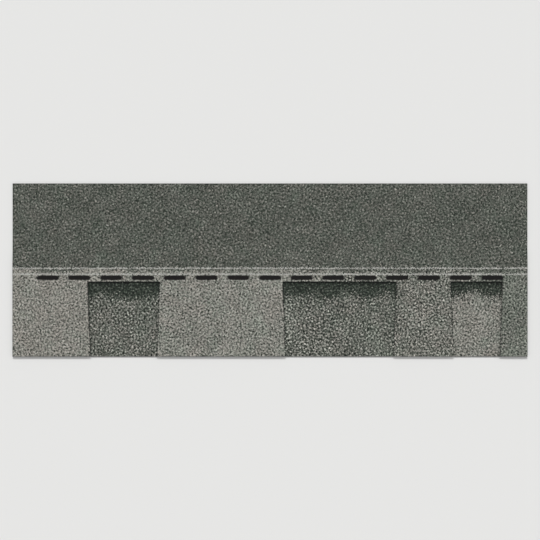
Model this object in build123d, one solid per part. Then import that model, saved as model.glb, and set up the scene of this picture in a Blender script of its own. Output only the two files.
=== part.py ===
"""A laminated asphalt roof shingle: one unit of a shingled roof, lying face up on a level floor.

Two sheets of asphalt-coated glass mat are glued on each other. The upper sheet, the tooth ply, has
the full height, and its lower part is cut into flared teeth. The lower sheet, the backer ply, is a
plain strip behind the teeth, which shows through the gaps between them. Past the backer's upper edge
the tooth ply sags down to the floor. What lies above the exposure line is covered by later courses.

Millimetres. X runs along the shingle, Y from the butt edge up the roof, Z out of the face.
The origin is at the middle of the underside.
"""

import math
import os
from itertools import cycle

from build123d import *

# Both sheets
length = 1038.0  # along the eaves
exposure = 149.0  # from the butt edge to the exposure line, which the next course leaves showing
head_lap = 51.0  # what the second course above still covers
bond_lap = 29.0  # how far the backer runs up past the exposure line
tooth_ply_thickness = 2.3
backer_ply_thickness = 2.3

# Teeth and the gaps between them, from the left, measured half way up the exposure
tooth_widths = (154.0, 253.0, 115.0)
gap_widths = (140.0, 224.0, 99.0)
flare = 3.0  # each side of a tooth leans out by this much, from half way up to the butt edge
cutout_lap = 2.0  # the gaps run this far past the exposure line
corner_radius = 1.5  # in a gap's two upper corners
narrowest_end = 25.0  # a tooth or gap at the sheet's right end is no narrower than this

# Where the tooth ply comes down from the backer to the floor
bend_clearance = 3.0  # from the backer's upper edge to the start of the bend
bend_run = 45.0

# Glue between the plies, in ribbons along the shingle
glue_thickness = 0.3
glue_width = 10.0
tooth_glue_heights = (19.0, 95.0)  # middles of the ribbons behind each tooth, above the butt edge
bond_glue_inset = 7.0  # from the backer's upper edge to the ribbon above the gaps
glue_inset = 6.0  # from a tooth's side or the sheet's end to a ribbon's end

# Self-seal adhesive on the face, a row of dashes above the gaps
seal_clearance = 3.0  # from the gaps' upper ends to the dashes
seal_width = 10.0
seal_length = 48.0
seal_gap = 16.0
seal_thickness = 0.8
seal_edge_radius = 0.35

# Release film on the back, where another shingle's seal dashes lie in a bundle
film_width = 24.0
film_thickness = 0.1

OVERCUT = 5.0  # how far cutting tools run past the sheet

height = 2 * exposure + head_lap
butt_y = -height / 2
head_y = height / 2
left_x = -length / 2
right_x = length / 2
cutout_top_y = butt_y + exposure + cutout_lap
backer_top_y = butt_y + exposure + bond_lap
ply_gap_top = backer_ply_thickness + glue_thickness  # the tooth ply's underside over the backer

# The bend is two equal arcs, first over and then back, that drop the sheet to the floor
bend_start_y = backer_top_y + bend_clearance
bend_end_y = bend_start_y + bend_run
bend_angle = 2 * math.atan(ply_gap_top / bend_run)
bend_radius = bend_run / (2 * math.sin(bend_angle))

# In a bundle every other shingle is turned end for end, so the film mirrors the dashes
seal_y = cutout_top_y + seal_clearance + seal_width / 2
film_low_y = max(-seal_y - film_width / 2, backer_top_y)
film_high_y = -seal_y + film_width / 2


def gap_spans():
    """(left, right) of each gap half way up the exposure, as the widths repeat along the sheet."""
    last_x = right_x - narrowest_end
    spans = []
    x = left_x
    for tooth, gap in zip(cycle(tooth_widths), cycle(gap_widths)):
        start = x + tooth
        x = start + gap
        if start > last_x:
            return spans
        if x > last_x:
            return spans + [(start, right_x + flare + OVERCUT)]
        spans.append((start, x))


def tooth_spans():
    """(left, right) of each tooth half way up the exposure."""
    gaps = gap_spans()
    starts = [left_x] + [end for _, end in gaps]
    ends = [start for start, _ in gaps] + [right_x]
    return [(start, end) for start, end in zip(starts, ends) if start < right_x]


def lean(y):
    """How far a gap's side stands back from its place half way up, at height y. It grows upwards."""
    middle_y = butt_y + exposure / 2
    return flare * (y - middle_y) / (exposure / 2)


def bent_line(lift):
    """The edges of the tooth ply's section, lift above its underside, from butt to head."""
    over = bend_radius + lift
    back = bend_radius - lift

    def on_first_arc(angle):
        return (
            left_x,
            bend_start_y + over * math.sin(angle),
            ply_gap_top - bend_radius + over * math.cos(angle),
        )

    def on_second_arc(angle):
        return (
            left_x,
            bend_end_y - back * math.sin(angle),
            bend_radius - back * math.cos(angle),
        )

    return [
        Line((left_x, butt_y, ply_gap_top + lift), on_first_arc(0)),
        ThreePointArc(on_first_arc(0), on_first_arc(bend_angle / 2), on_first_arc(bend_angle)),
        ThreePointArc(on_second_arc(bend_angle), on_second_arc(bend_angle / 2), on_second_arc(0)),
        Line(on_second_arc(0), (left_x, head_y, lift)),
    ]


def bent_sheet(low, high):
    """A full-length sheet that fills the tooth ply's section from low to high above its underside."""
    lower = bent_line(low)
    upper = bent_line(high)
    butt_edge = Line(lower[0] @ 0, upper[0] @ 0)
    head_edge = Line(lower[-1] @ 1, upper[-1] @ 1)
    section = make_face(lower + [head_edge] + upper + [butt_edge])
    return extrude(section, amount=length, dir=(1, 0, 0))


def cutout(gap):
    """The tool that cuts one gap: it widens upwards and has rounded upper corners."""
    left, right = gap
    low_y = butt_y - OVERCUT
    corners = [
        (left - lean(low_y), low_y),
        (right + lean(low_y), low_y),
        (right + lean(cutout_top_y), cutout_top_y),
        (left - lean(cutout_top_y), cutout_top_y),
    ]
    outline = make_face(Polyline(*corners, close=True))
    upper_corners = outline.vertices().group_by(Axis.Y)[-1]
    outline = fillet(upper_corners, corner_radius)
    return extrude(outline, amount=ply_gap_top + tooth_ply_thickness + OVERCUT)


def tooth_ply():
    """The upper sheet, cut into teeth and bent down past the backer."""
    sheet = bent_sheet(0, tooth_ply_thickness)
    for gap in gap_spans():
        sheet -= cutout(gap)
    return sheet


def backer_ply():
    """The lower sheet, a plain strip from the butt edge up."""
    backer_height = backer_top_y - butt_y
    return Pos(0, butt_y + backer_height / 2, backer_ply_thickness / 2) * Box(
        length, backer_height, backer_ply_thickness
    )


def glue_ribbon(left, right, y):
    """One ribbon of glue between the plies, centred on y."""
    return Pos((left + right) / 2, y, backer_ply_thickness + glue_thickness / 2) * Box(
        right - left, glue_width, glue_thickness
    )


def laminating_glue():
    """The ribbons behind each tooth, and the long one in the bond above the gaps."""
    bond_y = backer_top_y - bond_glue_inset - glue_width / 2
    ribbons = [glue_ribbon(left_x + glue_inset, right_x - glue_inset, bond_y)]
    for rise in tooth_glue_heights:
        y = butt_y + rise
        for left, right in tooth_spans():
            start = left if left == left_x else left + lean(y)
            end = right if right == right_x else right - lean(y)
            ribbons.append(glue_ribbon(start + glue_inset, end - glue_inset, y))
    return Compound(children=ribbons)


def seal_strip():
    """The row of self-seal dashes on the face, round-ended and soft-edged."""
    pitch = seal_length + seal_gap
    count = int((length - seal_gap) // pitch)
    outline = SlotOverall(seal_length, seal_width)
    dash = extrude(outline, amount=seal_thickness)
    dash = fillet(dash.faces().sort_by(Axis.Z)[-1].edges(), seal_edge_radius)
    top_z = ply_gap_top + tooth_ply_thickness
    first_x = -pitch * (count - 1) / 2
    return Compound(
        children=[Pos(first_x + pitch * n, seal_y, top_z) * dash for n in range(count)]
    )


def release_film():
    """The film on the tooth ply's underside, which starts past the backer and follows the bend."""
    film_height = film_high_y - film_low_y
    clear_z = ply_gap_top + tooth_ply_thickness
    band = Pos(0, (film_low_y + film_high_y) / 2, 0) * Box(length, film_height, 2 * clear_z)
    return bent_sheet(-film_thickness, 0) & band


def main():
    """Write one STEP file for each node."""
    os.makedirs("parts", exist_ok=True)
    nodes = {
        "tooth_ply": tooth_ply(),
        "backer_ply": backer_ply(),
        "laminating_glue": laminating_glue(),
        "seal_strip": seal_strip(),
        "release_film": release_film(),
    }
    for name, shape in nodes.items():
        export_step(shape, f"parts/{name}.step")


main()
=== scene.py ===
# %% [markdown]
# A laminated asphalt shingle is two sheets of glass mat, soaked in asphalt and glued on each other.
# Crushed stone, fired with a ceramic colour, is pressed into the face. The upper sheet is cut into
# flared teeth, and the lower one shows in the gaps between them.
#
# The two sheets, the glue, the seal dashes and the release film come from the frame at their real
# size. What makes a shingle look like one is its stone, so most of this lesson is about granules.

import bpy
import numpy as np
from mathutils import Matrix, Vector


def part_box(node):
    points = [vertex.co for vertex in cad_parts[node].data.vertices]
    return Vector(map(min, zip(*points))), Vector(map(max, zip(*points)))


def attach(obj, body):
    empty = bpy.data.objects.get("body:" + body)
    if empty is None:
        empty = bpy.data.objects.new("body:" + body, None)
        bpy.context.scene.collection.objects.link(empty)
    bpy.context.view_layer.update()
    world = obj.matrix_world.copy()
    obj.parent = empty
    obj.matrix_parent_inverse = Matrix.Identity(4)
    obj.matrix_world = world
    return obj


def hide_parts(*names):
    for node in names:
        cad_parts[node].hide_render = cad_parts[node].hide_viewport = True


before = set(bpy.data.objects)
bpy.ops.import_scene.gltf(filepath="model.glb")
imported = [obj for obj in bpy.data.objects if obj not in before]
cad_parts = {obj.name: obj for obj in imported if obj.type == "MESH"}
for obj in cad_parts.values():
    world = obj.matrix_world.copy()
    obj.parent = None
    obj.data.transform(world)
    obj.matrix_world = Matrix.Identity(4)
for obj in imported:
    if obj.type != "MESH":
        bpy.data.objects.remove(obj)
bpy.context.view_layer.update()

MM = 0.001  # the scene is in metres
print("frame nodes:", sorted(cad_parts))

# %% [markdown]
# Everything is placed from the frame: the corners of its nodes give the butt edge, the head edge and
# the heights of both faces. Only sizes that a box can't tell are written here, such as how much a
# tooth flares.

# %% Measure the frame
EXPOSURE = 149 * MM  # from the butt edge up, the height that stays in sight on a roof
CUTOUT_LAP = 2 * MM  # the gaps run this much further up
FLARE = 3 * MM  # each side of a tooth leans by this much over half the exposure
PLY_THICKNESS = 2.3 * MM
SAME_PLACE = 0.01 * MM  # corners that lie nearer to each other are in one place
DECIMALS = 6  # of a metre, so a thousandth of a millimetre

sheet_low, sheet_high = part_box("tooth_ply")
backer_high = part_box("backer_ply")[1]
butt_y = sheet_low.y
head_y = sheet_high.y
tooth_face_z = sheet_high.z
backer_face_z = backer_high.z
cutout_top_y = butt_y + EXPOSURE + CUTOUT_LAP
backer_top_y = backer_high.y
sheet_points = np.array([v.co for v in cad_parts["tooth_ply"].data.vertices])
at_butt = np.isclose(sheet_points[:, 1], butt_y, atol=SAME_PLACE)
butt_sides = np.unique(sheet_points[at_butt, 0].round(DECIMALS))
gap_numbers = range(1, len(butt_sides) - 1, 2)  # a gap has the number of its left side
print("tooth sides at the butt edge, mm:", (butt_sides / MM).round(1))

# %% [markdown]
# A tooth's side is a straight line that leans inwards on its way up, so its x is its place at the
# butt edge plus a share of its height. The sheet's two ends stand straight. Past the backer, the
# sheet bends down to the floor. Arcs could be worked out for that, but the frame's mesh is made of
# flat faces, and granules laid on a true arc would float over some and sink into others. So the
# heights are read from the mesh itself.

# %% Tooth sides and the bend
FACING = 0.5  # a face looks up where its normal's z is over this, and down where it is under -this
SAME_HEIGHT = 0.001 * MM  # heights that differ by less are the same
side_leans = np.array([0.0] + [-1.0, 1.0] * len(gap_numbers) + [0.0])


def side_x(number, y):
    """x of one tooth side at y: its place at the butt edge, plus its lean times the climb."""
    climb = np.minimum(y, cutout_top_y) - butt_y
    return butt_sides[number] + side_leans[number] * climb * 2 * FLARE / EXPOSURE


def sides_at(y):
    """x of every tooth side, one row for each y."""
    return np.stack([side_x(number, y) for number in range(len(butt_sides))], -1)


def sheet_profile(up):
    """y and z of the tooth ply's corners at its left end, along its face or along its underside.

    These are the corners of all faces that look up, or down, as far as they lie at the left end.
    """
    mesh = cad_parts["tooth_ply"].data
    looks_up = np.array([face.normal.z * up > FACING for face in mesh.polygons])
    corners = np.array([face.vertices[:] for face in mesh.polygons])[looks_up].ravel()
    places = sheet_points[np.unique(corners)]
    at_end = np.isclose(places[:, 0], sheet_low.x, atol=SAME_PLACE)
    return np.unique(places[at_end][:, 1:].round(DECIMALS + 1), axis=0).T


face_profile = sheet_profile(1)
under_profile = sheet_profile(-1)


def face_z(y):
    """Height of the tooth ply's face at y, on the straight line between two corners of the mesh."""
    return np.interp(y, *face_profile)


under_y, under_z = under_profile
bend_start_y = under_y[under_z > under_z.max() - SAME_HEIGHT].max()
bend_end_y = under_y[under_z < SAME_HEIGHT].min()
print("the bend runs from", (bend_start_y / MM).round(1), "to", (bend_end_y / MM).round(1), "mm")
print("corners along the face:", face_profile.shape[1])

# %% [markdown]
# Granules could be a bump in a material, but then the edges and a low view look flat. They could be
# thousands of scattered pebbles, but a sheet carries about a hundred thousand of them, and each
# would hide most of its faces in the asphalt. So they are one surface: a triangular lattice where
# every third point is lifted to be a granule's peak. Its six triangles are that granule's facets,
# the points around it lie down in the asphalt, and random shifts give each one its own shape.

# %% A lattice of granules
def triangular_lattice(row_y, border_x, columns):
    """Places of a triangular lattice that is stretched between slanting borders.

    Along a row, the points divide the stretch between two borders evenly. Every second row is
    shifted by half a step, apart from the points on a border. A point's class is its column, less
    half its row, less its row, modulo three: each triangle has one point of every class.
    """
    rows = np.arange(len(row_y))[:, None]
    column = np.arange(sum(columns) + 1)[None, :]
    first = np.concatenate([[0], np.cumsum(columns)])
    on_border = np.isin(column, first)
    place = column + np.where(on_border, 0.0, 0.5 * (rows % 2))
    stretch = np.clip(np.searchsorted(first, place, side="right") - 1, 0, len(columns) - 1)
    share = (place - first[stretch]) / np.asarray(columns)[stretch]
    left = np.take_along_axis(border_x, stretch, axis=1)
    right = np.take_along_axis(border_x, stretch + 1, axis=1)
    x = left + (right - left) * share
    y = np.broadcast_to(np.asarray(row_y)[:, None], x.shape).copy()
    point_class = (column - rows // 2 - rows) % 3
    return x, y, point_class


def lattice_triangles(first_row, last_row, first_column, last_column, width):
    """Point numbers of the lattice's triangles in a block of rows and columns.

    The four corners of a cell make two triangles. Even rows are cut along one diagonal and odd rows
    along the other, which keeps all the triangles as near to equal-sided as the lattice is.
    """
    rows = np.arange(first_row, last_row)
    columns = np.arange(first_column, last_column)
    row, column = np.meshgrid(rows, columns, indexing="ij")
    a = row * width + column
    b, c, d = a + 1, a + width, a + width + 1
    odd = (row % 2 == 1)[..., None]
    lower = np.where(odd, np.stack([a, d, c], -1), np.stack([a, b, c], -1))
    upper = np.where(odd, np.stack([a, b, d], -1), np.stack([b, d, c], -1))
    return np.concatenate([lower.reshape(-1, 3), upper.reshape(-1, 3)])


def row_heights(low, high, step):
    """Heights of the rows from low to high, evenly spaced and as near to step as they can be."""
    return np.linspace(low, high, max(2, round((high - low) / step)) + 1)


print("a block of 2 by 3 cells has", len(lattice_triangles(0, 2, 0, 3, 10)), "triangles")

# %% [markdown]
# Stone isn't spread evenly. It falls in small clusters, and the clusters in wider drifts. A smooth
# random field gives both: random numbers on a coarse square grid, blended between its corners. One
# grid alone would leave faint stripes along its lines, so two are added, each turned by an odd angle.

# %% Random fields
FIELD_TURNS = (0.6, 1.9)  # radians


def eased(value):
    """From 0 to 1 as value goes from 0 to 1, level at both ends."""
    value = np.clip(value, 0, 1)
    return value * value * (3 - 2 * value)


def grid_field(x, y, size, turn, rng):
    """Random numbers on one turned square grid, blended between its corners.

    The four grid corners around a point have normal random values. They are blended by the shares
    of the point's place in its square, eased at both ends.
    """
    across = (x * np.cos(turn) - y * np.sin(turn)) / size
    along = (x * np.sin(turn) + y * np.cos(turn)) / size
    across, along = across - across.min(), along - along.min()
    corner = rng.standard_normal((int(across.max()) + 2, int(along.max()) + 2))
    i, j = across.astype(int), along.astype(int)
    s, t = eased(across - i), eased(along - j)
    low = corner[i, j] * (1 - s) + corner[i + 1, j] * s
    high = corner[i, j + 1] * (1 - s) + corner[i + 1, j + 1] * s
    return low * (1 - t) + high * t


def random_field(x, y, size, seed):
    """A smooth random number at each (x, y): the grids' sum, less its mean, over its spread."""
    rng = np.random.default_rng(seed)
    value = sum(grid_field(x, y, size, turn, rng) for turn in FIELD_TURNS)
    return (value - value.mean()) / value.std()


RING = 7  # places around a point
RING_REACH = 1.15  # of the clusters' size


def speckle(x, y, size, seed):
    """Clusters that keep their distance: a random field less its mean in a ring around.

    The field is read at each point and at the places of its ring in one go.
    """
    angle = 2 * np.pi * np.arange(RING) / RING
    around_x = np.append(0, RING_REACH * size * np.cos(angle))
    around_y = np.append(0, RING_REACH * size * np.sin(angle))
    field = random_field(x + around_x[:, None, None], y + around_y[:, None, None], size, seed)
    value = field[0] - field[1:].mean(0)
    return value / value.std()


print("a speckle reads its field at", RING + 1, "places for each point")

# %% [markdown]
# A factory drops several blends of stone on the moving sheet, one after another. So each tooth has a
# blend of its own, from a pale warm grey to a coarse dark one, and the backer's blends are mostly
# darker, which makes the gaps look deep. Here a blend is four numbers: how light its granules are
# on average, how much they differ, how green they are, and how much its dark ones stand out.

# %% Blends of stone
# lightness from 0 for black to 1 for white, its spread, greenness, and the lean towards dark ones
PALE = (0.538, 0.150, 0.28, 0.30)
PALE_WARM = (0.525, 0.155, 0.48, 0.30)
COARSE = (0.426, 0.212, 0.45, 0.10)
GREEN_GREY = (0.442, 0.150, 0.85, 0.20)
DARK = (0.400, 0.198, 0.55, 0.0)
DARK_COARSE = (0.405, 0.228, 0.55, 0.0)
DARK_GREEN = (0.410, 0.184, 0.65, 0.0)
PALE_COOL = (0.520, 0.160, 0.40, 0.30)
HEADLAP = (0.350, 0.110, 0.50, 0.0)
BAND = (0.200, 0.128, 0.95, 0.0)

tooth_blends = np.array([PALE, PALE_WARM, COARSE, GREEN_GREY])
# at the left and the right end of each gap
gap_blends = np.array([[DARK, DARK], [DARK_COARSE, DARK_GREEN], [PALE_COOL, PALE_COOL]])
COLOUR_LAP = 25 * MM  # the face's blends run this far past the exposure line
BLEND_EDGE = 9 * MM  # over which one blend gives way to the next
BLEND_WANDER = 6 * MM  # how far that edge wanders
BULGE_SIZE = 30 * MM  # of the bulges that it wanders in
LAP_WANDER = 0.4  # the share of that wander at the end of the colour lap
print("blends on the teeth:", len(tooth_blends), "and in the gaps:", len(gap_blends))


def mixed(first, second, share):
    """Blend numbers between first and second, by the share of second at each point."""
    return first + (second - first) * np.asarray(share)[..., None]


def scattered(share, chance):
    """1 where a granule takes the second of two blends, 0 where it takes the first."""
    return (chance < share).astype(float)


def face_blends(x, y, chance):
    """The blend of each granule on the tooth ply.

    The number of the tooth that is nearest in x picks the blend. Around the middle of a gap, a
    granule takes either neighbour's blend by chance. Above the colour lap it is plain headlap stone.
    """
    wander = BLEND_WANDER * random_field(x, y, BULGE_SIZE, seed=11)
    middles = (butt_sides[1:-1:2] + butt_sides[2:-1:2]) / 2
    passed = (x[..., None] + wander[..., None] - middles) / BLEND_EDGE + 0.5
    number = scattered(eased(passed), chance[..., None]).sum(-1).astype(int)
    lap_y = butt_y + EXPOSURE + COLOUR_LAP + LAP_WANDER * wander
    above = scattered(eased((y - lap_y) / BLEND_EDGE + 0.5), chance)
    return mixed(tooth_blends[number], np.array(HEADLAP), above)


# %% [markdown]
# At the top of each gap the factory prints a band of nearly black stone, which looks like a deep
# shadow. The band's lower edge is uneven: it wanders in lobes, and single pale and dark granules
# are mixed there.

# %% The shadow band
BAND_HEIGHT = 30 * MM  # down to where half of the granules are the band's
BAND_EDGE = 30 * MM
BAND_LOBES = 2.8 * MM  # how far its lower edge wanders
LOBE_SIZE = 24 * MM
LOBE_LENGTHENING = 0.3  # y counts only this much, so the lobes are long downwards
GAP_CHANGE = 5 / 7  # of a gap's width, over which one blend gives way to the other
PAINTED_STEP_SHADE = 0.060  # painted shade: how much darker the granules are right beside a tooth, at the foot of its step
STEP_REACH = 2.6 * MM
PAINTED_TOP_SHADOW = 0.26  # painted shadow: the same, right under the gap's upper end
TOP_REACH = 3.6 * MM


def gap_blend(number):
    """A function for one gap of the backer, which gives the blend of each of its granules.

    From the gap's left side to its right, one blend gives way to the other. Above a wandering line,
    a granule takes the band's blend by a chance that rises with its height over that line. Beside
    the teeth the stone is darkened by an exponential of the distance, a painted shade at the foot of
    each step, and right under the gap's upper end more deeply, a painted shadow.
    """
    left_blend, right_blend = gap_blends[number // 2]

    def blends(x, y, chance):
        left, right = side_x(number, y), side_x(number + 1, y)
        across = np.clip((x - left) / (right - left), 0, 1)
        changed = eased((across - 0.5) / GAP_CHANGE + 0.5)
        ground = mixed(left_blend, right_blend, scattered(changed, chance))
        wander = BAND_LOBES * random_field(x, y * LOBE_LENGTHENING, LOBE_SIZE, seed=21 + number)
        over = y - (cutout_top_y - BAND_HEIGHT + wander)
        in_band = scattered(eased(over / BAND_EDGE + 0.5), chance)
        blend = mixed(ground, np.array(BAND), in_band)
        # painted shade at the foot of each tooth's step
        blend[..., 0] -= PAINTED_STEP_SHADE * np.exp(-np.minimum(x - left, right - x) / STEP_REACH)
        # painted shadow right under the gap's upper end
        blend[..., 0] -= PAINTED_TOP_SHADOW * np.exp(-(cutout_top_y - y) / TOP_REACH)
        return blend

    return blends


print("the band takes", round(100 * BAND_HEIGHT / EXPOSURE), "percent of a gap's height")

# %% [markdown]
# Two thin painted lines show where nails go, at the borders of the bond where both sheets lie on
# each other. A wheel rolls the paint over the granules. It catches on the peaks and misses some
# granules, so it is one more number that each has.

# %% The nail lines
NAIL_LINES = (166 * MM, 178 * MM)  # above the butt edge
NAIL_LINE_WIDTH = 3 * MM
PAINT_EDGE = 1.4 * MM
PAINT_COVER = 0.8  # the share of granules that the wheel reaches


def painted(y, chance):
    """1 for each granule under a nail line: within its width, by a chance that fades at its edges."""
    away = np.min([np.abs(y - butt_y - line) for line in NAIL_LINES], axis=0)
    return scattered(PAINT_COVER * eased((NAIL_LINE_WIDTH / 2 - away) / PAINT_EDGE + 0.5), chance)


print("nail lines at", NAIL_LINES[0] / MM, "and", NAIL_LINES[1] / MM, "mm")

# %% [markdown]
# A row of asphalt dashes lies on the granules just above the gaps. On a warm roof they melt a
# little and stick to what lies on them. The wheel that lays them presses the stone down, so the
# granules have to know where the dashes are before they are made.

# %% Where the seal dashes lie
DASH_LENGTH = 48 * MM
DASH_GAP = 16 * MM
PRESSED = 0.75  # how much of its rise a granule under a dash loses
PRESSED_REACH = 0.47  # of a dash's width, to each side of its middle line
strip_low, strip_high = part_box("seal_strip")
dash_width = strip_high.y - strip_low.y
dash_height = strip_high.z - strip_low.z
dash_count = round((strip_high.x - strip_low.x + DASH_GAP) / (DASH_LENGTH + DASH_GAP))
dash_middles = strip_low.x + DASH_LENGTH / 2 + (DASH_LENGTH + DASH_GAP) * np.arange(dash_count)
dash_y = (strip_low.y + strip_high.y) / 2


def under_dash(x, y):
    """True under a dash: nearer to its middle line than almost half its width."""
    nearest = np.clip(np.round((x - dash_middles[0]) / (DASH_LENGTH + DASH_GAP)), 0, dash_count - 1)
    along = np.abs(x - dash_middles[0] - nearest * (DASH_LENGTH + DASH_GAP))
    past_end = np.maximum(along - (DASH_LENGTH - dash_width) / 2, 0)
    return np.hypot(past_end, y - dash_y) < PRESSED_REACH * dash_width


print(dash_count, "dashes, each", DASH_LENGTH / MM, "by", round(dash_width / MM, 1), "mm")

# %% [markdown]
# A field of granules is the whole lattice of one face, with its random shifts, its peaks and what
# each granule looks like. Pieces are cut from it afterwards. Two pieces of one field share the
# points on their common border, so no seam shows between them.
#
# Small shifts would leave a honeycomb, so the points shift far, and where that would turn a facet
# over, its three points go back by half, as often as it takes. Most points between the granules
# lie deep, but a few are high, and there the granules seem to have grown together.
#
# Knives, hands and boots knock granules off, most of all along the cut edges. A lost one is a flat
# black spot of bare asphalt, which breaks up the straight line of an edge.

# %% A field of granules
GRANULE_RISE = 0.62 * MM  # the tallest peak above the asphalt
SINK = 0.15 * MM  # how far a granule piece reaches into its sheet
LOWEST_PEAK = 0.5  # of the full rise
HIGHEST_HOLLOW = 0.75
RIM_PEAK = 0.5  # how much of its rise a point on a cut edge keeps
MOST_SHIFT = 0.62  # of a step
LEAST_AREA = 0.14  # the share of its area on the lattice that a facet keeps
HALVINGS = 9  # how often a move may be halved
CLUSTER = 2.7 * MM  # the size of a cluster of like granules
DRIFT = 21 * MM  # and of a drift
CLUSTER_SHARE = 0.80  # how much a granule's cluster makes it lighter or darker
SINGLE_SHARE = 0.58  # the same for its own chance
DRIFT_SHARE = 0.10  # and for the drift that it lies in
TINT_DRIFT = 0.13  # how much the greenness wanders from place to place
TINT_CHANCE = 0.22  # and from one granule to the next
RIM_INSET = 0.42 * MM  # the most that a cut edge has lost
LOST = 0.012  # the share of granules knocked off
LOST_AT_EDGE = 0.26
LOST_RISE = 0.12  # of a granule's rise, for the bare asphalt that it leaves
BARE_ASPHALT = 0.10  # its lightness


def beside(marked):
    """Marks the points next to the marked ones, in their row and in the rows above and below."""
    wide = np.pad(marked, 1).astype(float)
    return np.maximum.reduce([wide[:-2, 1:-1], wide[2:, 1:-1], wide[1:-1, :-2], wide[1:-1, 2:]])


def doubled_areas(points, triangles):
    """Twice each triangle's area as seen from above: the cross product of two of its sides."""
    a, b, c = (points[triangles[:, corner]] for corner in range(3))
    return (b[:, 0] - a[:, 0]) * (c[:, 1] - a[:, 1]) - (b[:, 1] - a[:, 1]) * (c[:, 0] - a[:, 0])


def moved_points(x, y, move_x, move_y):
    """The lattice's points after their moves.

    Where a facet would turn over, or keep less than the least share of its area, the moves of its
    three points are halved, again and again.
    """
    rows, columns = x.shape
    triangles = lattice_triangles(0, rows - 1, 0, columns - 1, columns)
    start = np.stack([x, y], -1).reshape(-1, 2)
    move = np.stack([move_x, move_y], -1).reshape(-1, 2)
    least = LEAST_AREA * doubled_areas(start, triangles)
    for _ in range(HALVINGS):
        too_small = doubled_areas(start + move, triangles) < least
        move[np.unique(triangles[too_small])] *= 0.5
    points = (start + move).reshape(rows, columns, 2)
    return points[..., 0], points[..., 1]


def granule_field(row_y, border_x, columns, step, base_z, blends, rims, seed):
    """The points of one face's granules, and a lightness, greenness and paint for each point.

    A peak's rise is drawn evenly from a half to all of the full rise. That of the points between is
    the cube of a random number, so that most lie deep. Inner points shift any way within a circle.
    Points on a cut edge only draw back from it, and are half as high. The lightness is the blend's,
    plus its spread times a sum of cluster, drift and single randomness. Where a blend leans to dark,
    the square of that sum is taken off, which draws light granules in and drives dark ones out.
    """
    rng = np.random.default_rng(seed)
    x, y, point_class = triangular_lattice(row_y, border_x, columns)
    shape = x.shape
    pull_x, pull_y, on_rim = rims(shape)
    inset = RIM_INSET * rng.random(shape)
    shift = MOST_SHIFT * step * (1 - on_rim) * rng.random(shape) ** 0.5
    direction = rng.uniform(0, 2 * np.pi, shape)
    move_x = shift * np.cos(direction) + pull_x * inset
    move_y = shift * np.sin(direction) + pull_y * inset
    x, y = moved_points(x, y, move_x, move_y)
    peak = rng.uniform(LOWEST_PEAK, 1, shape)
    hollow = HIGHEST_HOLLOW * rng.random(shape) ** 3
    rise = np.where(point_class == 0, peak, hollow)
    rise = np.where(on_rim, RIM_PEAK * rise, rise)
    rise = np.where(under_dash(x, y), (1 - PRESSED) * rise, rise)
    cluster = speckle(x, y, CLUSTER, seed + 1)
    drift = random_field(x, y, DRIFT, seed + 2)
    single = rng.standard_normal(shape)
    chance = rng.random(shape)
    blend = blends(x, y, chance)
    chosen = CLUSTER_SHARE * cluster + SINGLE_SHARE * single + DRIFT_SHARE * drift
    lightness = blend[..., 0] + blend[..., 1] * (chosen - blend[..., 3] * (chosen**2 - 1) / 2)
    tint = TINT_DRIFT * random_field(x, y, DRIFT, seed + 3) + TINT_CHANCE * rng.standard_normal(shape)
    greenness = np.clip(blend[..., 2] + tint, 0, 1)
    near_rim = np.maximum(on_rim, beside(on_rim))
    lost = rng.random(shape) < LOST + LOST_AT_EDGE * near_rim
    rise = np.where(lost, LOST_RISE * rise, rise)
    lightness = np.where(lost, BARE_ASPHALT, lightness)
    paint = painted(y, rng.random(shape))
    return {
        "points": np.stack([x, y, base_z(y) + GRANULE_RISE * rise], -1).reshape(-1, 3),
        "rise": rise.ravel(),
        "class": point_class.ravel(),
        "looks": np.stack([np.clip(lightness, 0, 1), greenness, paint], -1).reshape(-1, 3),
        "base": base_z(y).ravel(),
        "width": shape[1],
    }


print("peaks rise up to", GRANULE_RISE / MM, "mm")

# %% [markdown]
# A mesh wants flat arrays: all the points, then the corners of all the faces one after another, and
# where each face starts. Filling it in that way takes a moment even for a hundred thousand faces.

# %% From arrays to a mesh
def new_piece(name, points, face_groups, uv_groups, material):
    """A flat-shaded piece. Each face group is an array of point numbers, one face in a row.

    The groups may differ in their corner counts. Each has an array with a place on the bake's map
    for every corner.
    """
    mesh = bpy.data.meshes.new(name)
    corners = np.concatenate([group.ravel() for group in face_groups])
    counts = np.concatenate([np.full(len(group), group.shape[1]) for group in face_groups])
    mesh.vertices.add(len(points))
    mesh.vertices.foreach_set("co", points.astype(np.float32).ravel())
    mesh.loops.add(len(corners))
    mesh.loops.foreach_set("vertex_index", corners.astype(np.int32))
    mesh.polygons.add(len(counts))
    mesh.polygons.foreach_set("loop_start", (np.cumsum(counts) - counts).astype(np.int32))
    uv = mesh.uv_layers.new(name="OFBake")
    places = np.concatenate([group.reshape(-1, 2) for group in uv_groups])
    uv.data.foreach_set("uv", places.astype(np.float32).ravel())
    mesh.update(calc_edges=True)
    mesh.shade_flat()
    mesh.materials.append(material)
    piece = bpy.data.objects.new(name, mesh)
    bpy.context.scene.collection.objects.link(piece)
    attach(piece, "root")
    return piece


def add_values(piece, name, kind, domain, values):
    """Stores one value, or one vector, for every point or face of the piece."""
    attribute = piece.data.attributes.new(name, kind, domain)
    field = "vector" if kind == "FLOAT_VECTOR" else "value"
    attribute.data.foreach_set(field, values.astype(np.float32).ravel())


print("the bake's map is named OFBake")

# %% [markdown]
# A granule piece is a block of its field. Its facets are the lattice's triangles. To be a closed
# body it gets a skirt around its rim, down into the asphalt, and an underside of long faces that
# follow the sheet. On the bake's map the facets lie as seen from above, and the skirt and the
# underside have two narrow strips below them, because nobody sees those.

# %% Cut a piece from a field
MAP_LOW, MAP_HIGH = 0.002, 0.998  # a thin margin is left around the bake's map
FACET_STRIP = (0.07, MAP_HIGH)  # heights on the map
SKIRT_STRIP = (0.045, 0.060)
UNDER_STRIP = (MAP_LOW, 0.035)


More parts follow.
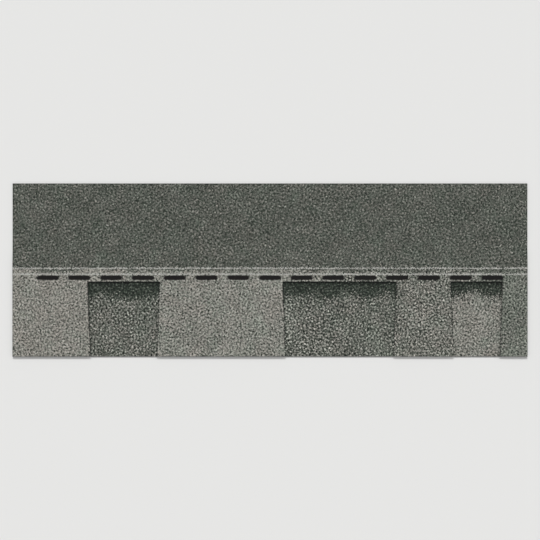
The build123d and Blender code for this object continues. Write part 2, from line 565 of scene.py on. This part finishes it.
def on_map(values, low=MAP_LOW, high=MAP_HIGH):
    """Values spread evenly from low to high."""
    return low + (high - low) * (values - values.min()) / np.ptp(values)


def block_rim(first_row, last_row, first_column, last_column, width):
    """Point numbers around a block, counterclockwise as seen from above, starting at its corner."""
    front = first_row * width + np.arange(first_column, last_column)
    right = np.arange(first_row, last_row) * width + last_column
    back = last_row * width + np.arange(last_column, first_column, -1)
    left = np.arange(last_row, first_row, -1) * width + first_column
    return np.concatenate([front, right, back, left])


def underside_strips(low_rim, row_count, column_count):
    """Faces under a block, looking down: one for its front row, one for its back row, quads between.

    A quad runs across the whole block, from its left side to its right one and from a row to the
    next, so the underside follows the sheet's bend.
    """
    front = low_rim[: column_count + 1]
    right = low_rim[column_count : column_count + row_count + 1]
    back = low_rim[column_count + row_count : 2 * column_count + row_count + 1]
    left = np.append(low_rim[2 * column_count + row_count :], low_rim[0])[::-1]
    front_face = np.concatenate([front[::-1], [left[1], right[1]]])[None, :]
    back_face = np.concatenate([[right[-2], left[-2]], back[::-1]])[None, :]
    between = np.stack([left[1:-2], left[2:-1], right[2:-1], right[1:-2]], -1)
    return front_face, between, back_face


def granule_piece(name, field, rows, columns, material):
    """One closed piece of granules, from the first to the last of the rows and columns given."""
    width = field["width"]
    facets = lattice_triangles(*rows, *columns, width)
    rim = block_rim(*rows, *columns, width)
    peak_of = facets[np.arange(len(facets)), (field["class"][facets] == 0).argmax(1)]
    used, facets = np.unique(facets, return_inverse=True)
    facets = facets.reshape(-1, 3)
    rim = np.searchsorted(used, rim)
    points = field["points"][used]
    sunk = points[rim].copy()
    sunk[:, 2] = field["base"][used][rim] - SINK
    low_rim = np.arange(len(rim)) + len(points)
    skirt = np.stack([rim, low_rim, np.roll(low_rim, -1), np.roll(rim, -1)], -1)
    underside = underside_strips(low_rim, rows[1] - rows[0], columns[1] - columns[0])

    u, v = on_map(points[:, 0]), on_map(points[:, 1], *FACET_STRIP)
    facet_uv = np.stack([u[facets], v[facets]], -1)
    along = np.arange(len(rim))
    skirt_u = np.stack([along, along, along + 1, along + 1], -1) / len(rim)
    low_v, high_v = SKIRT_STRIP
    skirt_v = np.tile([high_v, low_v, low_v, high_v], (len(rim), 1))
    skirt_uv = np.stack([skirt_u, skirt_v], -1)
    under_places = np.stack([on_map(sunk[:, 0]), on_map(sunk[:, 1], *UNDER_STRIP)], -1)
    under_uv = [under_places[group - len(points)] for group in underside]

    all_points = np.concatenate([points, sunk])
    groups = [facets, skirt, *underside]
    piece = new_piece(name, all_points, groups, [facet_uv, skirt_uv, *under_uv], material)
    looks = np.zeros((len(piece.data.polygons), 3))
    looks[: len(facets)] = field["looks"][peak_of]
    add_values(piece, "granule", "FLOAT_VECTOR", "FACE", looks)
    rise = np.concatenate([field["rise"][used], np.zeros(len(sunk))])
    add_values(piece, "rise", "FLOAT", "POINT", rise)
    print(name, "has", len(facets) // 6, "granules")


# %% [markdown]
# Every finish is a small node tree, and a few helpers keep the trees short to write. One adds a
# node with its settings. The others each add a kind of node that comes up again and again: maths,
# noise, a ramp of greys or colours from a list of stops, a mix of two colours, and a bump.

# %% Node helpers
def new_material(name):
    """A node material, its tree and its main shader."""
    material = bpy.data.materials.new(name)
    material.use_nodes = True
    tree = material.node_tree
    return material, tree, tree.nodes["Principled BSDF"]


def add_node(tree, kind, inputs=(), **settings):
    """A new node. Inputs are (socket, value) pairs, where a value may be another node's output."""
    node = tree.nodes.new("ShaderNode" + kind)
    for name, value in settings.items():
        setattr(node, name, value)
    for socket, value in inputs:
        if isinstance(value, bpy.types.NodeSocket):
            tree.links.new(value, node.inputs[socket])
        else:
            node.inputs[socket].default_value = value
    return node


def place_on_piece(tree):
    """Where a point lies on its piece, in metres."""
    return add_node(tree, "TexCoord").outputs["Object"]


def maths(tree, operation, *values):
    """The result of one operation on two or three values."""
    return add_node(tree, "Math", enumerate(values), operation=operation).outputs[0]


def noise(tree, place, scale, detail):
    """A soft random pattern from about 0.2 to 0.8, with this many patches to a metre."""
    inputs = [("Vector", place), ("Scale", scale), ("Detail", detail)]
    return add_node(tree, "TexNoise", inputs).outputs["Fac"]


def add_ramp(tree, factor, stops):
    """A ramp's colour output. Stops are (place, colour) pairs, with plain numbers for greys."""
    node = add_node(tree, "ValToRGB", [("Fac", factor)])
    ramp = node.color_ramp
    while len(ramp.elements) < len(stops):
        ramp.elements.new(1.0)
    for element, (place, colour) in zip(ramp.elements, stops):
        element.position = place
        element.color = (*colour, 1.0) if isinstance(colour, tuple) else (colour, colour, colour, 1.0)
    return node.outputs["Color"]


def from_screen(red, green, blue):
    """A colour that reads as these 0 to 255 values on a screen, as the linear values of light.

    The numbers are those of the screens' standard: a straight line for the darkest values, and a
    power for the others.
    """
    value = np.array([red, green, blue]) / 255
    linear = np.where(value < 0.04045, value / 12.92, ((value + 0.055) / 1.055) ** 2.4)
    return tuple(float(v) for v in linear)


def screen_ramp(tree, factor, stops):
    """A ramp's colour output. Stops are a table of places and the screen colours there."""
    return add_ramp(tree, factor, [(place, from_screen(*colour)) for place, colour in stops.items()])


def mix_colours(tree, share, first, second, blend="MIX"):
    """Two colours mixed by the share of the second, at the sockets that a mix node has for colours."""
    inputs = [(0, share), (6, first), (7, second)]
    return add_node(tree, "Mix", inputs, data_type="RGBA", blend_type=blend).outputs[2]


def set_surface(tree, shader, colour, roughness):
    """Gives the shader a colour and a roughness that vary from place to place."""
    tree.links.new(colour, shader.inputs["Base Color"])
    tree.links.new(roughness, shader.inputs["Roughness"])


def add_bump(tree, shader, height, strength, depth):
    """Roughens the shader's surface by a pattern of heights, this deep."""
    bump = add_node(tree, "Bump", [("Strength", strength), ("Distance", depth), ("Height", height)])
    tree.links.new(bump.outputs["Normal"], shader.inputs["Normal"])


print("mid grey on a screen is", round(from_screen(128, 128, 128)[0], 3), "of full light")

# %% [markdown]
# The ceramic on a granule is matt, with a faint sheen on its facets. Its colour comes from the three
# numbers that the granule carries. A ramp turns lightness into stone colours, from a green-black to
# a warm white. A second ramp tints it by its greenness. Deep down between the granules the asphalt
# shows, so the colour darkens where the rise is small. A fine bump roughens each facet.

# %% Granule finish
LINE_PAINT = (*from_screen(190, 190, 184), 1.0)


def granule_material(name):
    """Ceramic-coated stone in asphalt."""
    material, tree, shader = new_material(name)
    looks = add_node(tree, "Attribute", attribute_name="granule").outputs["Vector"]
    parts = add_node(tree, "SeparateXYZ", [("Vector", looks)])
    lightness, greenness, paint = (parts.outputs[axis] for axis in "XYZ")
    stone = screen_ramp(
        tree,
        lightness,
        {
            0.0: (7, 10, 7),
            0.2: (41, 50, 41),
            0.4: (101, 103, 97),
            0.6: (155, 153, 147),
            1.0: (238, 235, 228),
        },
    )
    tint = add_ramp(
        tree,
        greenness,
        [(0.0, (1.0, 0.97, 0.94)), (0.5, (0.985, 1.0, 0.975)), (1.0, (0.90, 1.0, 0.93))],
    )
    coloured = mix_colours(tree, 1.0, stone, tint, "MULTIPLY")
    with_paint = mix_colours(tree, paint, coloured, LINE_PAINT)
    rise = add_node(tree, "Attribute", attribute_name="rise").outputs["Fac"]
    depth = add_ramp(tree, rise, [(0.0, 0.10), (0.16, 0.42), (0.40, 1.0)])
    in_asphalt = mix_colours(tree, 1.0, with_paint, depth, "MULTIPLY")
    grain = noise(tree, place_on_piece(tree), scale=2600.0, detail=3.0)
    set_surface(tree, shader, in_asphalt, add_ramp(tree, grain, [(0.3, 0.62), (0.7, 0.92)]))
    add_bump(tree, shader, grain, strength=0.35, depth=0.12 * MM)
    shader.inputs["Specular IOR Level"].default_value = 0.3
    return material


tooth_stone = granule_material("tooth_granules")
backer_stone = granule_material("backer_granules")
print("granule finishes:", tooth_stone.name, backer_stone.name)

# %% [markdown]
# The tooth ply has two fields. The lower one, up to the backer's upper edge, has the fine stone that
# the weather sees. The upper one has coarser and plainer headlap stone, out of sight on a roof.

# %% Granules on the tooth ply
FINE_SIZE = 1.5 * MM  # from one granule to the next
HEADLAP_SIZE = 1.9 * MM  # the same for headlap stone
STEPS_TO_A_GRANULE = 3**0.5  # of the lattice, from one granule to the next
ROW_SHARE = 3**0.5 / 2  # of a step, between two rows
BANDS = 4  # pieces side by side above the teeth, so that each has a sharp map

fine_step = FINE_SIZE / STEPS_TO_A_GRANULE
row_step = fine_step * ROW_SHARE
gap_rows = row_heights(butt_y, cutout_top_y, row_step)
bond_rows = row_heights(cutout_top_y, backer_top_y, row_step)
face_rows = np.concatenate([gap_rows, bond_rows[1:]])
cutout_row = len(gap_rows) - 1
middle_sides = sides_at(np.array([butt_y + EXPOSURE / 2]))[0]
face_columns = [round(width / fine_step) for width in np.diff(middle_sides)]
side_columns = np.concatenate([[0], np.cumsum(face_columns)])


def tooth_rims(shape):
    """Where the tooth ply's lower field is cut: sideways pull, upward pull, and 1 on any cut edge."""
    row, column = np.indices(shape)
    pull_x, pull_y = np.zeros(shape), np.zeros(shape)
    for number, side_column in enumerate(side_columns):
        cut = (column == side_column) & (row <= cutout_row)
        pull_x[cut] = 1 if number % 2 == 0 else -1
    for number in gap_numbers:
        over_gap = (column > side_columns[number]) & (column < side_columns[number + 1])
        pull_y[over_gap & (row == cutout_row)] = 1
    ends = (column == 0) | (column == side_columns[-1])
    pull_x[ends] = np.where(column[ends] == 0, 1, -1)
    pull_y[row == 0] = 1
    return pull_x, pull_y, (pull_x != 0) | (pull_y != 0)


def tooth_ply_pieces(name, field, rows, column_spans):
    """Numbered pieces of one of the tooth ply's fields, one for each span of columns."""
    for number, columns in enumerate(column_spans, 1):
        granule_piece(f"{name}_{number}", field, rows, columns, tooth_stone)


def in_bands(column_count):
    """Spans of columns that divide all of them into bands."""
    borders = np.linspace(0, column_count, BANDS + 1).astype(int)
    return zip(borders[:-1], borders[1:])


face_field = granule_field(
    face_rows,
    sides_at(face_rows),
    face_columns,
    fine_step,
    face_z,
    face_blends,
    tooth_rims,
    seed=100,
)
tooth_columns = zip(side_columns[::2], side_columns[1::2])
tooth_ply_pieces("tooth_granules", face_field, (0, cutout_row), tooth_columns)
bond_span = cutout_row, len(face_rows) - 1
tooth_ply_pieces("bond_granules", face_field, bond_span, in_bands(side_columns[-1]))

# %% [markdown]
# The headlap's field starts a little below the end of the fine one, so the two lie through each
# other there and no straight line shows. It follows the bend down to the floor.

# %% Headlap granules
OVERLAP = 0.8 * MM
coarse_step = HEADLAP_SIZE / STEPS_TO_A_GRANULE
head_rows = row_heights(backer_top_y - OVERLAP, head_y, coarse_step * ROW_SHARE)
head_columns = [round((butt_sides[-1] - butt_sides[0]) / coarse_step)]


def plain_rims(shape):
    """Rims of a field whose four sides are all cut edges."""
    row, column = np.indices(shape)
    pull_x = (column == 0) * 1.0 - (column == shape[1] - 1)
    pull_y = (row == 0) * 1.0 - (row == shape[0] - 1)
    return pull_x, pull_y, (pull_x != 0) | (pull_y != 0)


head_field = granule_field(
    head_rows,
    np.repeat(butt_sides[[0, -1]][None, :], len(head_rows), 0),
    head_columns,
    coarse_step,
    face_z,
    face_blends,
    plain_rims,
    seed=200,
)
head_span = 0, len(head_rows) - 1
tooth_ply_pieces("head_granules", head_field, head_span, in_bands(head_columns[0]))

# %% [markdown]
# The backer's stone is only modelled where it shows, in the gaps. Each gap is a field of its own,
# stretched between the two slanting sides of its neighbours.

# %% Granules in the gaps
for number in gap_numbers:
    gap_field = granule_field(
        gap_rows,
        sides_at(gap_rows)[:, number : number + 2],
        [face_columns[number]],
        fine_step,
        lambda y: np.full(y.shape, backer_face_z),
        gap_blend(number),
        plain_rims,
        seed=300 + number,
    )
    name = f"gap_granules_{number // 2 + 1}"
    columns = 0, face_columns[number]
    granule_piece(name, gap_field, (0, cutout_row), columns, backer_stone)

# %% [markdown]
# The sheets themselves are the frame's own nodes, with a better finish. Their cut edges show black
# asphalt with the paler glass mat as a thin line in the middle. Their backs are dusted with fine
# sand, which keeps them from sticking in a pile. The mat lies at half the sheet's height, and the
# tooth ply bends, so the finish first works out how high over its underside a point is.

# %% Sheet finish
BARE_BACK = (*from_screen(29, 28, 27), 1.0)
LAYER_WANDER = 0.34  # of the sheet's height, how far the layers in its edge wander


def sanded(tree, place):
    """Colour and height of a sanded back: grains of several greys that lie thick here and thin there.

    Each cell of a Voronoi pattern is a grain where its random number is under the local cover, and
    bare asphalt elsewhere. Grains are darker at their rims.
    """
    cells = add_node(tree, "TexVoronoi", [("Vector", place), ("Scale", 1900.0)])
    dice = add_node(tree, "SeparateColor", [("Color", cells.outputs["Color"])])
    drifts = noise(tree, place, scale=45.0, detail=6.0)
    cover = add_node(tree, "MapRange", [("Value", drifts), ("From Min", 0.3), ("From Max", 0.7)])
    spare = maths(tree, "SUBTRACT", cover.outputs["Result"], dice.outputs["Red"])
    is_grain = add_ramp(tree, spare, [(0.0, 0.0), (0.04, 1.0)])
    grain = screen_ramp(
        tree,
        dice.outputs["Green"],
        {0.0: (62, 60, 57), 0.5: (98, 94, 87), 0.85: (128, 123, 113), 1.0: (168, 163, 152)},
    )
    rim = add_ramp(tree, cells.outputs["Distance"], [(0.35, 1.0), (0.75, 0.35)])
    grain = mix_colours(tree, 1.0, grain, rim, "MULTIPLY")
    return mix_colours(tree, is_grain, BARE_BACK, grain), is_grain


def height_in_sheet(tree, place, bends):
    """How high a point lies in its sheet: 0 at the underside and 1 at the face.

    Where the sheet bends, a smooth step from the bend's start to its end lowers the underside.
    """
    axes = add_node(tree, "SeparateXYZ", [("Vector", place)])
    underside = 0.0
    if bends:
        lowered = add_node(
            tree,
            "MapRange",
            [
                ("Value", axes.outputs["Y"]),
                ("From Min", float(bend_start_y)),
                ("From Max", float(bend_end_y)),
                ("To Min", tooth_face_z - PLY_THICKNESS),
                ("To Max", 0.0),
            ],
            interpolation_type="SMOOTHSTEP",
        )
        underside = lowered.outputs["Result"]
    return maths(tree, "DIVIDE", maths(tree, "SUBTRACT", axes.outputs["Z"], underside), PLY_THICKNESS)


def asphalt_sheet(name, bends):
    """Asphalt with a glass mat inside, a sanded back and a black face between its granules."""
    material, tree, shader = new_material(name)
    place = place_on_piece(tree)
    wobble = noise(tree, place, scale=420.0, detail=4.0)
    wander = maths(tree, "MULTIPLY_ADD", wobble, LAYER_WANDER, -LAYER_WANDER / 2)
    layer = maths(tree, "ADD", height_in_sheet(tree, place, bends), wander)
    edge = screen_ramp(
        tree,
        layer,
        {
            0.00: (92, 90, 84),
            0.07: (34, 33, 32),
            0.40: (24, 23, 23),
            0.46: (104, 98, 86),
            0.54: (112, 106, 94),
            0.60: (26, 25, 25),
            0.90: (30, 30, 29),
            1.00: (78, 79, 74),
        },
    )
    back, sand_height = sanded(tree, place)
    face = screen_ramp(tree, wobble, {0.3: (16, 16, 16), 0.7: (42, 42, 40)})
    normal = add_node(tree, "NewGeometry").outputs["Normal"]
    facing = add_node(tree, "SeparateXYZ", [("Vector", normal)]).outputs["Z"]
    colour = mix_colours(tree, maths(tree, "LESS_THAN", facing, -FACING), edge, back)
    colour = mix_colours(tree, maths(tree, "GREATER_THAN", facing, FACING), colour, face)
    set_surface(tree, shader, colour, add_ramp(tree, wobble, [(0.35, 0.55), (0.65, 0.9)]))
    add_bump(tree, shader, maths(tree, "ADD", wobble, sand_height), strength=0.6, depth=0.25 * MM)
    return material


def dress(node, material):
    """Puts a finish on a node of the frame, in every material slot that it has."""
    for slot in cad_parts[node].material_slots:
        slot.material = material
    print(node, "has the finish", material.name)


dress("tooth_ply", asphalt_sheet("tooth_sheet", bends=True))
dress("backer_ply", asphalt_sheet("backer_sheet", bends=False))

# %% [markdown]
# The glue between the sheets is soft asphalt that was squeezed flat. It is black, and shines where
# the sheets were pressed on it, with streaks along the run of the machine.

# %% Glue finish
STREAK_SQUEEZE = 0.12  # x counts only this much in the pattern, so the streaks are long along x


def glue_material():
    """Squeezed asphalt: nearly black, with long streaks of more and less shine."""
    material, tree, shader = new_material("laminating_asphalt")
    place = place_on_piece(tree)
    drawn = add_node(tree, "Mapping", [("Vector", place), ("Scale", (STREAK_SQUEEZE, 1.0, 1.0))])
    streaks = noise(tree, drawn.outputs[0], scale=500.0, detail=4.0)
    colour = screen_ramp(tree, streaks, {0.3: (20, 19, 18), 0.75: (48, 45, 42)})
    set_surface(tree, shader, colour, add_ramp(tree, streaks, [(0.3, 0.25), (0.7, 0.6)]))
    add_bump(tree, shader, streaks, strength=0.4, depth=0.1 * MM)
    return material


dress("laminating_glue", glue_material())

# %% [markdown]
# The self-seal adhesive is hot asphalt, laid on the granules in dashes by a wheel. Surface tension
# rounds it: a dash is a low pillow with soft, uneven ends. Each is a polar grid. Rings shrink the
# outline of the dash towards its middle, and the height falls off to nothing at the outermost ring.

# %% Shape of a seal dash
DASH_RINGS = 9
DASH_SPOKES = 96
END_POWER, SIDE_POWER = 0.42, 0.62  # the lower they are, the squarer the outline is
WAVES = np.arange(2, 14)[:, None]  # how often each goes up and down on the way around
WAVE_SPREAD = 0.012
MOST_WAVER = 0.045  # of the outline's reach
SMALLEST_RING = 0.06  # of the outermost
RING_POWER = 0.8  # under 1, so that the rings lie closer at the rim, where the dash is steep
DOME_POWER = 2.4
DOME_HEIGHT = 0.82  # of the frame's dash, before the lumps
WIDE_LUMPS, WIDE_LUMP_SIZE = 0.07, 7 * MM
FINE_LUMPS, FINE_LUMP_SIZE = 0.075, 2.2 * MM  # from the granules under it


def dash_points(middle_x, seed):
    """Points of one dash, ring by ring from the rim inwards, with the middle last.

    The outline is a superellipse: cosine and sine, each raised to a power and given back its sign,
    so that it is nearly a bar with round ends. It wavers with its angle. A ring's share runs from 1
    at the rim almost to 0. The height is the root of one less a power of that share, much as on an
    ellipse, times a sum of two random fields that make it lumpy.
    """
    rng = np.random.default_rng(seed)
    angle = 2 * np.pi * np.arange(DASH_SPOKES) / DASH_SPOKES
    size = rng.normal(0, WAVE_SPREAD, WAVES.shape)
    start = rng.uniform(0, 2 * np.pi, WAVES.shape)
    waver = (size * np.sin(WAVES * angle + start)).sum(0)
    cos, sin = np.cos(angle), np.sin(angle)
    across = np.sign(cos) * np.abs(cos) ** END_POWER * DASH_LENGTH / 2
    up = np.sign(sin) * np.abs(sin) ** SIDE_POWER * dash_width / 2
    reach = (1 - MOST_WAVER) * (1 + np.clip(waver, -MOST_WAVER, MOST_WAVER))
    share = np.linspace(1, SMALLEST_RING, DASH_RINGS)[:, None] ** RING_POWER
    x = middle_x + share * reach * across
    y = dash_y + share * reach * up
    dome = np.maximum(1 - share**DOME_POWER, 0) ** 0.5
    wide_lumps = WIDE_LUMPS * random_field(x, y, WIDE_LUMP_SIZE, seed + 1)
    fine_lumps = FINE_LUMPS * random_field(x, y, FINE_LUMP_SIZE, seed + 2)
    fullness = np.clip(dome * (DOME_HEIGHT + wide_lumps + fine_lumps), 0, 1)
    z = strip_low.z - SINK + (dash_height + SINK) * fullness
    rings = np.stack([x, y, z], -1).reshape(-1, 3)
    return np.concatenate([rings, [[middle_x, dash_y, z[-1].mean()]]])


def dash_faces():
    """Quads between rings, triangles to the middle, and one face underneath."""
    ring = np.arange(DASH_RINGS * DASH_SPOKES).reshape(DASH_RINGS, DASH_SPOKES)
    after = np.roll(ring, -1, axis=1)
    quads = np.stack([ring[:-1], after[:-1], after[1:], ring[1:]], -1).reshape(-1, 4)
    top = np.full(DASH_SPOKES, ring.size)
    fans = np.stack([ring[-1], after[-1], top], -1)
    return quads, fans, ring[0][::-1][None, :]


def many(faces, copies, points_each):
    """The same faces once for each copy, with the point numbers moved on."""
    moved = np.arange(copies)[:, None, None] * points_each + faces[None]
    return moved.reshape(-1, faces.shape[1])


all_dashes = np.concatenate([dash_points(x, seed=400 + 3 * n) for n, x in enumerate(dash_middles)])
points_in_a_dash = DASH_RINGS * DASH_SPOKES + 1
dash_groups = [many(faces, dash_count, points_in_a_dash) for faces in dash_faces()]
print(dash_count, "dashes with", len(all_dashes), "points")

# %% [markdown]
# Seal asphalt is blacker than the sheet's. The factory dusts it, so that it doesn't stick too soon,
# and the dust lies in faint patches, so it is nearly matt and unevenly so.

# %% Seal finish and the dashes' piece
def seal_material():
    """Black asphalt, nearly matt, with paler and duller dusty patches."""
    material, tree, shader = new_material("seal_asphalt")
    place = place_on_piece(tree)
    patches = noise(tree, place, scale=240.0, detail=5.0)
    colour = screen_ramp(tree, patches, {0.45: (11, 10, 10), 0.80: (33, 31, 29)})
    set_surface(tree, shader, colour, add_ramp(tree, patches, [(0.36, 0.58), (0.66, 0.88)]))
    shader.inputs["Specular IOR Level"].default_value = 0.16
    pits = noise(tree, place, scale=900.0, detail=2.0)
    add_bump(tree, shader, pits, strength=0.25, depth=0.15 * MM)
    return material


def flat_map(points, faces, low_v, high_v):
    """Places on the bake's map as seen from above, for each corner of each face."""
    u, v = on_map(points[:, 0]), on_map(points[:, 1], low_v, high_v)
    return np.stack([u[faces], v[faces]], -1)


dash_maps = [flat_map(all_dashes, group, *FACET_STRIP) for group in dash_groups[:2]]
dash_maps.append(flat_map(all_dashes, dash_groups[2], *UNDER_STRIP))
dashes = new_piece("seal_dashes", all_dashes, dash_groups, dash_maps, seal_material())
dashes.data.shade_smooth()
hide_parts("seal_strip")
print("the dashes stand for the frame's seal strip")

# %% [markdown]
# The release film is a thin clear strip on the back. It is stuck on in the factory and is never
# quite flat: shallow ripples run across it. It is a grid over its length and width, laid against
# the underside of the bend, with a second skin a film's thickness below.

# %% Release film
FILM_COLUMNS = 420
FILM_ROWS = 10
FILM_THICKNESS = 0.08 * MM
FILM_GLUE = 0.01 * MM  # between the sheet and the film
STUCK_SHARE = 0.25  # of its width, over which the ripples end at an edge that is stuck down
RIPPLE = 0.06 * MM  # the deepest
RIPPLE_SIZE = 16 * MM
RIPPLE_SLANT = 0.4  # how far the ripples lean sideways on their way across
RIPPLE_LENGTHENING = 0.3  # y counts only this much, so the ripples are long across the film
RIPPLE_TURN = 2.5  # radians of the cosine for each unit of the field
film_low, film_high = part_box("release_film")


def film_points():
    """Upper and lower skin of the film.

    It hangs below the sheet by a ripple's depth, which is half a cosine wave of a random field that
    is stretched across the film. Its two edges are stuck down.
    """
    x, y = np.meshgrid(
        np.linspace(film_low.x, film_high.x, FILM_COLUMNS + 1),
        np.linspace(film_low.y, film_high.y, FILM_ROWS + 1),
    )
    field = random_field(x + RIPPLE_SLANT * y, RIPPLE_LENGTHENING * y, RIPPLE_SIZE, seed=501)
    across = (y - film_low.y) / (film_high.y - film_low.y)
    free = eased(across / STUCK_SHARE) * eased((1 - across) / STUCK_SHARE)
    depth = RIPPLE * (0.5 + 0.5 * np.cos(RIPPLE_TURN * field)) * free
    upper = np.interp(y, *under_profile) - FILM_GLUE - depth
    skins = [np.stack([x, y, upper - skin * FILM_THICKNESS], -1).reshape(-1, 3) for skin in (0, 1)]
    return np.concatenate(skins)


def film_faces():
    """Quads of both skins, and of the walls around them."""
    number = np.arange((FILM_ROWS + 1) * (FILM_COLUMNS + 1)).reshape(FILM_ROWS + 1, FILM_COLUMNS + 1)
    a, b, c, d = number[:-1, :-1], number[:-1, 1:], number[1:, 1:], number[1:, :-1]
    upper = np.stack([a, b, c, d], -1).reshape(-1, 4)
    lower = upper[:, ::-1] + number.size
    rim = block_rim(0, FILM_ROWS, 0, FILM_COLUMNS, FILM_COLUMNS + 1)
    after = np.roll(rim, -1)
    walls = np.stack([rim, rim + number.size, after + number.size, after], -1)
    return upper, lower, walls


def film_material():
    """Clear plastic film: mostly see-through, with a sharp shine."""
    material, tree, shader = new_material("clear_film")
    haze = noise(tree, place_on_piece(tree), scale=90.0, detail=3.0)
    colour = screen_ramp(tree, haze, {0.3: (138, 141, 143), 0.7: (172, 175, 177)})
    set_surface(tree, shader, colour, add_ramp(tree, haze, [(0.3, 0.1), (0.7, 0.24)]))
    shader.inputs["Alpha"].default_value = 0.35
    return material


film_shape = film_points()
film_groups = film_faces()
film_strips = [(0.03, 0.49), (0.51, 0.97), (MAP_LOW, 0.02)]  # for the two skins and the walls
film_maps = [flat_map(film_shape, group, *strip) for group, strip in zip(film_groups, film_strips)]
film = new_piece("film", film_shape, film_groups, film_maps, film_material())
film.data.shade_smooth()
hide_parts("release_film")
print("film faces:", len(film.data.polygons))

# %% [markdown]
# The studio is plain: a pale floor, an even sky, and a wide soft light from beyond the head edge.
# The sky alone would leave the teeth without depth. The light comes from up the roof, so each step
# throws a thin shadow down into its gap, as on a roof in the afternoon.

# %% Floor, sky and lamp
SKY_STRENGTH = 0.55
SEEN_SKY_STRENGTH = 0.84  # as pale as the floor, where the camera or a reflection looks past it
LAMP_STRENGTH = 2.35
LAMP_SPREAD = 16  # degrees across, which sets how soft the shadows are
LAMP_PLACE = (-0.15, 3.0, 2.8)
FLOOR_SIZE = 30
FLOOR_DROP = 0.05 * MM  # so that the floor and the sheet's back aren't in one plane
FLOOR_COLOUR = (0.74, 0.74, 0.73, 1.0)


def soft_studio():
    """A pale floor for the shadow, a grey-white sky, and a soft light from beyond the head edge."""
    bpy.ops.mesh.primitive_plane_add(size=FLOOR_SIZE, location=(0, 0, -FLOOR_DROP))
    floor = bpy.context.object
    floor.name = "floor"
    material, tree, shader = new_material("pale_floor")
    shader.inputs["Base Color"].default_value = FLOOR_COLOUR
    shader.inputs["Roughness"].default_value = 0.9
    floor.data.materials.append(material)
    world = bpy.data.worlds.new("sky")
    world.use_nodes = True
    tree = world.node_tree
    sky = tree.nodes["Background"]
    sky.inputs["Color"].default_value = (1.0, 1.0, 1.0, 1.0)
    seen = 0.0
    path = add_node(tree, "LightPath")
    for ray in ("Is Camera Ray", "Is Glossy Ray", "Is Transmission Ray"):
        seen = maths(tree, "MAXIMUM", seen, path.outputs[ray])
    strength = add_node(
        tree, "MapRange", [("Value", seen), ("To Min", SKY_STRENGTH), ("To Max", SEEN_SKY_STRENGTH)]
    )
    tree.links.new(strength.outputs["Result"], sky.inputs["Strength"])
    bpy.context.scene.world = world
    lamp = bpy.data.lights.new("window", "SUN")
    lamp.angle = np.radians(LAMP_SPREAD)
    lamp.energy = LAMP_STRENGTH
    lamp_object = bpy.data.objects.new("window", lamp)
    lamp_object.location = LAMP_PLACE
    aim = -lamp_object.location.normalized()
    lamp_object.rotation_mode = "QUATERNION"
    lamp_object.rotation_quaternion = aim.to_track_quat("-Z", "Y")
    bpy.context.scene.collection.objects.link(lamp_object)
    return lamp_object


studio_lamp = soft_studio()
bpy.context.scene.view_settings.view_transform = "Standard"
print("lamp at", tuple(round(v, 2) for v in studio_lamp.location))

# %% [markdown]
# The photograph looks straight at the stone, so the camera looks straight down on the shingle. A
# long lens from far away keeps its sides parallel, and a small margin is left around it.

# %% Camera
LENS_MM = 100.0
SENSOR_MM = 36.0
MARGIN = 0.025  # of the shingle's length, at each end
camera = bpy.data.cameras.new("camera")
camera.lens = LENS_MM
camera.sensor_width = SENSOR_MM
span = (sheet_high.x - sheet_low.x) * (1 + 2 * MARGIN)
camera_object = bpy.data.objects.new("camera", camera)
camera_object.location = (0, 0, span * LENS_MM / SENSOR_MM)
bpy.context.scene.collection.objects.link(camera_object)
bpy.context.scene.camera = camera_object
print("camera height, m:", round(camera_object.location.z, 2))
